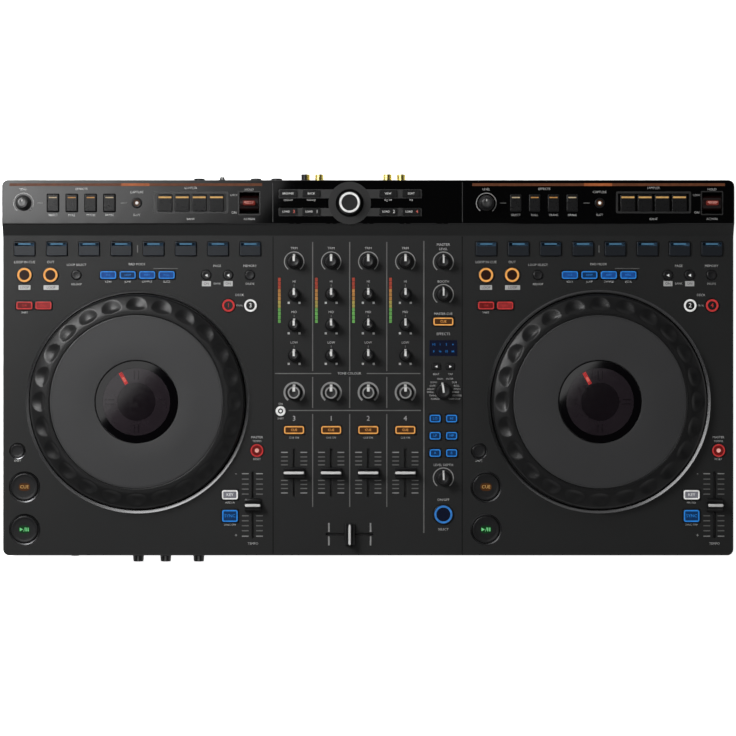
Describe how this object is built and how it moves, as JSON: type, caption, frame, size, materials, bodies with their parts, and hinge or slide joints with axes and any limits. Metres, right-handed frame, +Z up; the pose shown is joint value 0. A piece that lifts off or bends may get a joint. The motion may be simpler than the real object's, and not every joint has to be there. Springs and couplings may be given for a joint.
{
  "type": "dj mixer",
  "caption": "Flat rectangular DJ mixer and controller with two jog-wheel decks, rotary and sliding level controls, push-buttons, pads and a raised rear control bar.",
  "frame": {"origin": "on the surface that the feet stand on, under the middle of the case", "axes": "+X to the user's right, +Y towards the rear edge with the sockets, +Z up"},
  "size_m": [0.7014, 0.374, 0.073],
  "materials": {
    "case_plastic": "fine moulded texture",
    "panel_coating": "soft matte coating",
    "fascia_gloss": "polished acrylic",
    "board_laminate": "solder mask",
    "control_metal": "stamped",
    "jog_housing": "moulded",
    "foot_rubber": "matt",
    "screw_steel": "black zinc",
    "socket_plating": "plated",
    "jog_ring_plastic": "satin",
    "jog_plate_coating": "anodised satin",
    "knob_plastic": "soft touch",
    "fader_plastic": "moulded",
    "lever_plastic": "moulded",
    "pad_rubber": "silicone",
    "button_plastic": "moulded",
    "white_print": "screen printed",
    "white_inlay": "moulded in white",
    "display_lens": "polished",
    "lit_orange": "lit from inside",
    "lit_red": "lit from inside",
    "lit_blue": "lit from inside",
    "lit_white": "lit from inside",
    "lit_green": "lit from inside"
  },
  "bodies": {
    "case": {"bottom_case": "case_plastic", "top_panel": "panel_coating", "bar_fascia": "fascia_gloss", "circuit_boards": "board_laminate", "control_bodies": "control_metal", "jog_mounts": "jog_housing", "feet": "foot_rubber", "case_screws": "screw_steel", "sockets": "socket_plating"},
    "left_jog": {"left_jog_ring": "jog_ring_plastic", "left_jog_plate": "jog_plate_coating"},
    "right_jog": {"right_jog_ring": "jog_ring_plastic", "right_jog_plate": "jog_plate_coating"},
    "left_bar_knob": {"left_bar_knob": "knob_plastic"},
    "right_bar_knob": {"right_bar_knob": "knob_plastic"},
    "trim_knob_three": {"trim_knob_three": "knob_plastic"},
    "high_knob_three": {"high_knob_three": "knob_plastic"},
    "mid_knob_three": {"mid_knob_three": "knob_plastic"},
    "low_knob_three": {"low_knob_three": "knob_plastic"},
    "colour_knob_three": {"colour_knob_three": "knob_plastic"},
    "trim_knob_one": {"trim_knob_one": "knob_plastic"},
    "high_knob_one": {"high_knob_one": "knob_plastic"},
    "mid_knob_one": {"mid_knob_one": "knob_plastic"},
    "low_knob_one": {"low_knob_one": "knob_plastic"},
    "colour_knob_one": {"colour_knob_one": "knob_plastic"},
    "trim_knob_two": {"trim_knob_two": "knob_plastic"},
    "high_knob_two": {"high_knob_two": "knob_plastic"},
    "mid_knob_two": {"mid_knob_two": "knob_plastic"},
    "low_knob_two": {"low_knob_two": "knob_plastic"},
    "colour_knob_two": {"colour_knob_two": "knob_plastic"},
    "trim_knob_four": {"trim_knob_four": "knob_plastic"},
    "high_knob_four": {"high_knob_four": "knob_plastic"},
    "mid_knob_four": {"mid_knob_four": "knob_plastic"},
    "low_knob_four": {"low_knob_four": "knob_plastic"},
    "colour_knob_four": {"colour_knob_four": "knob_plastic"},
    "master_level_knob": {"master_level_knob": "knob_plastic"},
    "booth_level_knob": {"booth_level_knob": "knob_plastic"},
    "beat_selector_knob": {"beat_selector_knob": "knob_plastic"},
    "effect_depth_knob": {"effect_depth_knob": "knob_plastic"},
    "browse_encoder": {"browse_encoder": "knob_plastic"},
    "phones_level_knob": {"phones_level_knob": "knob_plastic"},
    "phones_mix_knob": {"phones_mix_knob": "knob_plastic"},
    "front_level_knob": {"front_level_knob": "knob_plastic"},
    "mic_level_knob": {"mic_level_knob": "knob_plastic"},
    "channel_fader_three": {"channel_fader_three": "fader_plastic"},
    "channel_fader_one": {"channel_fader_one": "fader_plastic"},
    "channel_fader_two": {"channel_fader_two": "fader_plastic"},
    "channel_fader_four": {"channel_fader_four": "fader_plastic"},
    "left_tempo_slider": {"left_tempo_slider": "fader_plastic"},
    "right_tempo_slider": {"right_tempo_slider": "fader_plastic"},
    "crossfader": {"crossfader": "fader_plastic"},
    "left_hold_lever": {"left_hold_lever": "lever_plastic"},
    "right_hold_lever": {"right_hold_lever": "lever_plastic"},
    "left_performance_pads": {"left_performance_pads": "pad_rubber"},
    "left_deck_buttons": {"left_deck_buttons": "button_plastic"},
    "left_bar_buttons": {"left_bar_buttons": "button_plastic"},
    "right_performance_pads": {"right_performance_pads": "pad_rubber"},
    "right_deck_buttons": {"right_deck_buttons": "button_plastic"},
    "right_bar_buttons": {"right_bar_buttons": "button_plastic"},
    "mixer_buttons": {"mixer_buttons": "button_plastic"}
  },
  "joints": [
    {"name": "left_jog_spin", "type": "hinge", "parent": "case", "child": "left_jog", "pos_m": [-0.2216, -0.0323, 0.058], "axis": [0, 0, -1], "continuous": true},
    {"name": "right_jog_spin", "type": "hinge", "parent": "case", "child": "right_jog", "pos_m": [0.2216, -0.0323, 0.058], "axis": [0, 0, -1], "continuous": true},
    {"name": "left_bar_knob_turn", "type": "hinge", "parent": "case", "child": "left_bar_knob", "pos_m": [-0.3302, 0.158, 0.06], "axis": [0, 0, -1], "range_deg": [-140, 140]},
    {"name": "right_bar_knob_turn", "type": "hinge", "parent": "case", "child": "right_bar_knob", "pos_m": [0.113, 0.158, 0.06], "axis": [0, 0, -1], "range_deg": [-140, 140]},
    {"name": "trim_knob_three_turn", "type": "hinge", "parent": "case", "child": "trim_knob_three", "pos_m": [-0.0712, 0.1022, 0.052], "axis": [0, 0, -1], "range_deg": [-140, 140]},
    {"name": "high_knob_three_turn", "type": "hinge", "parent": "case", "child": "high_knob_three", "pos_m": [-0.0712, 0.0706, 0.052], "axis": [0, 0, -1], "range_deg": [-140, 140]},
    {"name": "mid_knob_three_turn", "type": "hinge", "parent": "case", "child": "mid_knob_three", "pos_m": [-0.0712, 0.0413, 0.052], "axis": [0, 0, -1], "range_deg": [-140, 140]},
    {"name": "low_knob_three_turn", "type": "hinge", "parent": "case", "child": "low_knob_three", "pos_m": [-0.0712, 0.012, 0.052], "axis": [0, 0, -1], "range_deg": [-140, 140]},
    {"name": "colour_knob_three_turn", "type": "hinge", "parent": "case", "child": "colour_knob_three", "pos_m": [-0.0712, -0.0235, 0.052], "axis": [0, 0, -1], "range_deg": [-140, 140]},
    {"name": "trim_knob_one_turn", "type": "hinge", "parent": "case", "child": "trim_knob_one", "pos_m": [-0.0356, 0.1022, 0.052], "axis": [0, 0, -1], "range_deg": [-140, 140]},
    {"name": "high_knob_one_turn", "type": "hinge", "parent": "case", "child": "high_knob_one", "pos_m": [-0.0356, 0.0706, 0.052], "axis": [0, 0, -1], "range_deg": [-140, 140]},
    {"name": "mid_knob_one_turn", "type": "hinge", "parent": "case", "child": "mid_knob_one", "pos_m": [-0.0356, 0.0413, 0.052], "axis": [0, 0, -1], "range_deg": [-140, 140]},
    {"name": "low_knob_one_turn", "type": "hinge", "parent": "case", "child": "low_knob_one", "pos_m": [-0.0356, 0.012, 0.052], "axis": [0, 0, -1], "range_deg": [-140, 140]},
    {"name": "colour_knob_one_turn", "type": "hinge", "parent": "case", "child": "colour_knob_one", "pos_m": [-0.0356, -0.0235, 0.052], "axis": [0, 0, -1], "range_deg": [-140, 140]},
    {"name": "trim_knob_two_turn", "type": "hinge", "parent": "case", "child": "trim_knob_two", "pos_m": [0, 0.1022, 0.052], "axis": [0, 0, -1], "range_deg": [-140, 140]},
    {"name": "high_knob_two_turn", "type": "hinge", "parent": "case", "child": "high_knob_two", "pos_m": [0, 0.0706, 0.052], "axis": [0, 0, -1], "range_deg": [-140, 140]},
    {"name": "mid_knob_two_turn", "type": "hinge", "parent": "case", "child": "mid_knob_two", "pos_m": [0, 0.0413, 0.052], "axis": [0, 0, -1], "range_deg": [-140, 140]},
    {"name": "low_knob_two_turn", "type": "hinge", "parent": "case", "child": "low_knob_two", "pos_m": [0, 0.012, 0.052], "axis": [0, 0, -1], "range_deg": [-140, 140]},
    {"name": "colour_knob_two_turn", "type": "hinge", "parent": "case", "child": "colour_knob_two", "pos_m": [0, -0.0235, 0.052], "axis": [0, 0, -1], "range_deg": [-140, 140]},
    {"name": "trim_knob_four_turn", "type": "hinge", "parent": "case", "child": "trim_knob_four", "pos_m": [0.0356, 0.1022, 0.052], "axis": [0, 0, -1], "range_deg": [-140, 140]},
    {"name": "high_knob_four_turn", "type": "hinge", "parent": "case", "child": "high_knob_four", "pos_m": [0.0356, 0.0706, 0.052], "axis": [0, 0, -1], "range_deg": [-140, 140]},
    {"name": "mid_knob_four_turn", "type": "hinge", "parent": "case", "child": "mid_knob_four", "pos_m": [0.0356, 0.0413, 0.052], "axis": [0, 0, -1], "range_deg": [-140, 140]},
    {"name": "low_knob_four_turn", "type": "hinge", "parent": "case", "child": "low_knob_four", "pos_m": [0.0356, 0.012, 0.052], "axis": [0, 0, -1], "range_deg": [-140, 140]},
    {"name": "colour_knob_four_turn", "type": "hinge", "parent": "case", "child": "colour_knob_four", "pos_m": [0.0356, -0.0235, 0.052], "axis": [0, 0, -1], "range_deg": [-140, 140]},
    {"name": "master_level_knob_turn", "type": "hinge", "parent": "case", "child": "master_level_knob", "pos_m": [0.0721, 0.1018, 0.052], "axis": [0, 0, -1], "range_deg": [-140, 140]},
    {"name": "booth_level_knob_turn", "type": "hinge", "parent": "case", "child": "booth_level_knob", "pos_m": [0.0721, 0.0706, 0.052], "axis": [0, 0, -1], "range_deg": [-140, 140]},
    {"name": "beat_selector_knob_turn", "type": "hinge", "parent": "case", "child": "beat_selector_knob", "pos_m": [0.0721, -0.0221, 0.052], "axis": [0, 0, -1], "range_deg": [-110, 125]},
    {"name": "effect_depth_knob_turn", "type": "hinge", "parent": "case", "child": "effect_depth_knob", "pos_m": [0.0721, -0.1056, 0.052], "axis": [0, 0, -1], "range_deg": [-140, 140]},
    {"name": "browse_encoder_turn", "type": "hinge", "parent": "case", "child": "browse_encoder", "pos_m": [-0.0178, 0.158, 0.06], "axis": [0, 0, -1], "continuous": true},
    {"name": "phones_level_knob_turn", "type": "hinge", "parent": "case", "child": "phones_level_knob", "pos_m": [-0.2223, -0.18, 0.03], "axis": [0, 1, 0], "range_deg": [-140, 140]},
    {"name": "phones_mix_knob_turn", "type": "hinge", "parent": "case", "child": "phones_mix_knob", "pos_m": [-0.1959, -0.18, 0.03], "axis": [0, 1, 0], "range_deg": [-140, 140]},
    {"name": "front_level_knob_turn", "type": "hinge", "parent": "case", "child": "front_level_knob", "pos_m": [-0.1639, -0.18, 0.03], "axis": [0, 1, 0], "range_deg": [-140, 140]},
    {"name": "mic_level_knob_turn", "type": "hinge", "parent": "case", "child": "mic_level_knob", "pos_m": [-0.1414, 0.18, 0.027], "axis": [0, -1, 0], "range_deg": [-140, 140]},
    {"name": "channel_fader_three_slide", "type": "slide", "parent": "case", "child": "channel_fader_three", "axis": [0, 1, 0], "range_m": [-0.021, 0.021]},
    {"name": "channel_fader_one_slide", "type": "slide", "parent": "case", "child": "channel_fader_one", "axis": [0, 1, 0], "range_m": [-0.021, 0.021]},
    {"name": "channel_fader_two_slide", "type": "slide", "parent": "case", "child": "channel_fader_two", "axis": [0, 1, 0], "range_m": [-0.021, 0.021]},
    {"name": "channel_fader_four_slide", "type": "slide", "parent": "case", "child": "channel_fader_four", "axis": [0, 1, 0], "range_m": [-0.021, 0.021]},
    {"name": "left_tempo_slider_slide", "type": "slide", "parent": "case", "child": "left_tempo_slider", "axis": [0, 1, 0], "range_m": [-0.0295, 0.0295]},
    {"name": "right_tempo_slider_slide", "type": "slide", "parent": "case", "child": "right_tempo_slider", "axis": [0, 1, 0], "range_m": [-0.0295, 0.0295]},
    {"name": "crossfader_slide", "type": "slide", "parent": "case", "child": "crossfader", "axis": [1, 0, 0], "range_m": [-0.021, 0.021]},
    {"name": "left_hold_lever_tilt", "type": "hinge", "parent": "case", "child": "left_hold_lever", "pos_m": [-0.114, 0.158, 0.053], "axis": [1, 0, 0], "range_deg": [-18, 18], "stiffness_Nm_per_rad": 0.08},
    {"name": "right_hold_lever_tilt", "type": "hinge", "parent": "case", "child": "right_hold_lever", "pos_m": [0.3292, 0.158, 0.053], "axis": [1, 0, 0], "range_deg": [-18, 18], "stiffness_Nm_per_rad": 0.08},
    {"name": "left_performance_pads_press", "type": "slide", "parent": "case", "child": "left_performance_pads", "axis": [0, 0, -1], "range_m": [0, 0.0008], "stiffness_N_per_m": 3000, "springref_m": -0.0005},
    {"name": "left_deck_buttons_press", "type": "slide", "parent": "case", "child": "left_deck_buttons", "axis": [0, 0, -1], "range_m": [0, 0.001], "stiffness_N_per_m": 3000, "springref_m": -0.0005},
    {"name": "left_bar_buttons_press", "type": "slide", "parent": "case", "child": "left_bar_buttons", "axis": [0, 0, -1], "range_m": [0, 0.001], "stiffness_N_per_m": 3000, "springref_m": -0.0005},
    {"name": "right_performance_pads_press", "type": "slide", "parent": "case", "child": "right_performance_pads", "axis": [0, 0, -1], "range_m": [0, 0.0008], "stiffness_N_per_m": 3000, "springref_m": -0.0005},
    {"name": "right_deck_buttons_press", "type": "slide", "parent": "case", "child": "right_deck_buttons", "axis": [0, 0, -1], "range_m": [0, 0.001], "stiffness_N_per_m": 3000, "springref_m": -0.0005},
    {"name": "right_bar_buttons_press", "type": "slide", "parent": "case", "child": "right_bar_buttons", "axis": [0, 0, -1], "range_m": [0, 0.001], "stiffness_N_per_m": 3000, "springref_m": -0.0005},
    {"name": "mixer_buttons_press", "type": "slide", "parent": "case", "child": "mixer_buttons", "axis": [0, 0, -1], "range_m": [0, 0.001], "stiffness_N_per_m": 3000, "springref_m": -0.0005}
  ]
}
